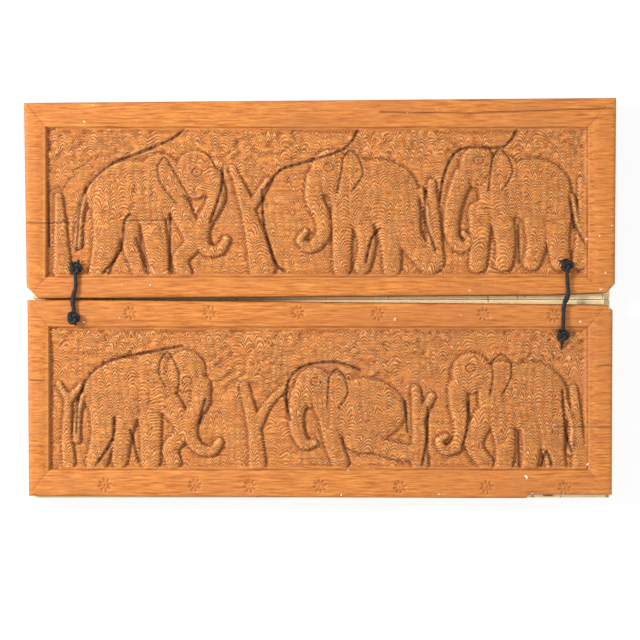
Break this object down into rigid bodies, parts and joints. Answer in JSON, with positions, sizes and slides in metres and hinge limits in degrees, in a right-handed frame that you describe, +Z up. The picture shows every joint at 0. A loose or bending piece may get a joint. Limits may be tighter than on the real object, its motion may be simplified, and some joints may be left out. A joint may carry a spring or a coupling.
{
  "type": "folding manuscript",
  "caption": "Concertina-folded paper manuscript between two carved teak covers, tied with short black cords, lying open face down.",
  "frame": {"origin": "on the floor under the middle of the gutter between the two covers", "axes": "+X along the gutter to the right, +Y towards the upper cover, +Z up out of the carved faces"},
  "size_m": [0.381, 0.2577, 0.0247],
  "materials": {
    "teak": "oiled, worn",
    "paper": "handmade paper, matt",
    "waxed_cord": "waxed, dull"
  },
  "bodies": {
    "lower_cover": {"lower_board": "teak", "lower_leaf_1": "paper", "lower_left_knot": "waxed_cord", "lower_right_knot": "waxed_cord", "left_cord": "waxed_cord", "right_cord": "waxed_cord"},
    "lower_leaf_2_body": {"lower_leaf_2": "paper"},
    "lower_leaf_3_body": {"lower_leaf_3": "paper"},
    "lower_leaf_4_body": {"lower_leaf_4": "paper"},
    "lower_leaf_5_body": {"lower_leaf_5": "paper"},
    "lower_leaf_6_body": {"lower_leaf_6": "paper"},
    "lower_leaf_7_body": {"lower_leaf_7": "paper"},
    "lower_leaf_8_body": {"lower_leaf_8": "paper"},
    "upper_cover": {"upper_board": "teak", "upper_leaf_1": "paper", "upper_left_knot": "waxed_cord", "upper_right_knot": "waxed_cord"},
    "upper_leaf_2_body": {"upper_leaf_2": "paper"},
    "upper_leaf_3_body": {"upper_leaf_3": "paper"},
    "upper_leaf_4_body": {"upper_leaf_4": "paper"},
    "upper_leaf_5_body": {"upper_leaf_5": "paper"},
    "upper_leaf_6_body": {"upper_leaf_6": "paper"},
    "upper_leaf_7_body": {"upper_leaf_7": "paper"},
    "upper_leaf_8_body": {"upper_leaf_8": "paper"}
  },
  "joints": [
    {"name": "cover_fold", "type": "hinge", "parent": "lower_cover", "child": "upper_cover", "pos_m": [0, 0, -0.00015], "axis": [-1, 0, 0], "range_deg": [0, 179.9], "deforming": ["left_cord", "right_cord"]},
    {"name": "lower_unfold", "type": "hinge", "parent": "lower_cover", "child": "lower_leaf_2_body", "pos_m": [0, -0.12835, 0.00615], "axis": [-1, 0, 0], "range_deg": [0, 179.9]},
    {"name": "lower_fold_2", "type": "hinge", "parent": "lower_leaf_2_body", "child": "lower_leaf_3_body", "pos_m": [0, -0.00015, 0.00525], "axis": [-1, 0, 0], "range_deg": [-180, 0]},
    {"name": "lower_fold_3", "type": "hinge", "parent": "lower_leaf_3_body", "child": "lower_leaf_4_body", "pos_m": [0, -0.12835, 0.00435], "axis": [-1, 0, 0], "range_deg": [0, 180]},
    {"name": "lower_fold_4", "type": "hinge", "parent": "lower_leaf_4_body", "child": "lower_leaf_5_body", "pos_m": [0, -0.00015, 0.00345], "axis": [-1, 0, 0], "range_deg": [-180, 0]},
    {"name": "lower_fold_5", "type": "hinge", "parent": "lower_leaf_5_body", "child": "lower_leaf_6_body", "pos_m": [0, -0.12835, 0.00255], "axis": [-1, 0, 0], "range_deg": [0, 180]},
    {"name": "lower_fold_6", "type": "hinge", "parent": "lower_leaf_6_body", "child": "lower_leaf_7_body", "pos_m": [0, -0.00015, 0.00165], "axis": [-1, 0, 0], "range_deg": [-180, 0]},
    {"name": "lower_fold_7", "type": "hinge", "parent": "lower_leaf_7_body", "child": "lower_leaf_8_body", "pos_m": [0, -0.12835, 0.00075], "axis": [-1, 0, 0], "range_deg": [0, 180]},
    {"name": "upper_unfold", "type": "hinge", "parent": "upper_cover", "child": "upper_leaf_2_body", "pos_m": [0, 0.12615, 0.00615], "axis": [1, 0, 0], "range_deg": [0, 179.9]},
    {"name": "upper_fold_2", "type": "hinge", "parent": "upper_leaf_2_body", "child": "upper_leaf_3_body", "pos_m": [0, 0.00015, 0.00525], "axis": [1, 0, 0], "range_deg": [-180, 0]},
    {"name": "upper_fold_3", "type": "hinge", "parent": "upper_leaf_3_body", "child": "upper_leaf_4_body", "pos_m": [0, 0.12615, 0.00435], "axis": [1, 0, 0], "range_deg": [0, 180]},
    {"name": "upper_fold_4", "type": "hinge", "parent": "upper_leaf_4_body", "child": "upper_leaf_5_body", "pos_m": [0, 0.00015, 0.00345], "axis": [1, 0, 0], "range_deg": [-180, 0]},
    {"name": "upper_fold_5", "type": "hinge", "parent": "upper_leaf_5_body", "child": "upper_leaf_6_body", "pos_m": [0, 0.12615, 0.00255], "axis": [1, 0, 0], "range_deg": [0, 180]},
    {"name": "upper_fold_6", "type": "hinge", "parent": "upper_leaf_6_body", "child": "upper_leaf_7_body", "pos_m": [0, 0.00015, 0.00165], "axis": [1, 0, 0], "range_deg": [-180, 0]},
    {"name": "upper_fold_7", "type": "hinge", "parent": "upper_leaf_7_body", "child": "upper_leaf_8_body", "pos_m": [0, 0.12615, 0.00075], "axis": [1, 0, 0], "range_deg": [0, 180]}
  ],
  "couplings": [
    {"joint": "lower_fold_2", "follows": "lower_unfold", "ratio": -1},
    {"joint": "lower_fold_3", "follows": "lower_unfold", "ratio": 1},
    {"joint": "lower_fold_4", "follows": "lower_unfold", "ratio": -1},
    {"joint": "lower_fold_5", "follows": "lower_unfold", "ratio": 1},
    {"joint": "lower_fold_6", "follows": "lower_unfold", "ratio": -1},
    {"joint": "lower_fold_7", "follows": "lower_unfold", "ratio": 1},
    {"joint": "upper_fold_2", "follows": "upper_unfold", "ratio": -1},
    {"joint": "upper_fold_3", "follows": "upper_unfold", "ratio": 1},
    {"joint": "upper_fold_4", "follows": "upper_unfold", "ratio": -1},
    {"joint": "upper_fold_5", "follows": "upper_unfold", "ratio": 1},
    {"joint": "upper_fold_6", "follows": "upper_unfold", "ratio": -1},
    {"joint": "upper_fold_7", "follows": "upper_unfold", "ratio": 1}
  ]
}
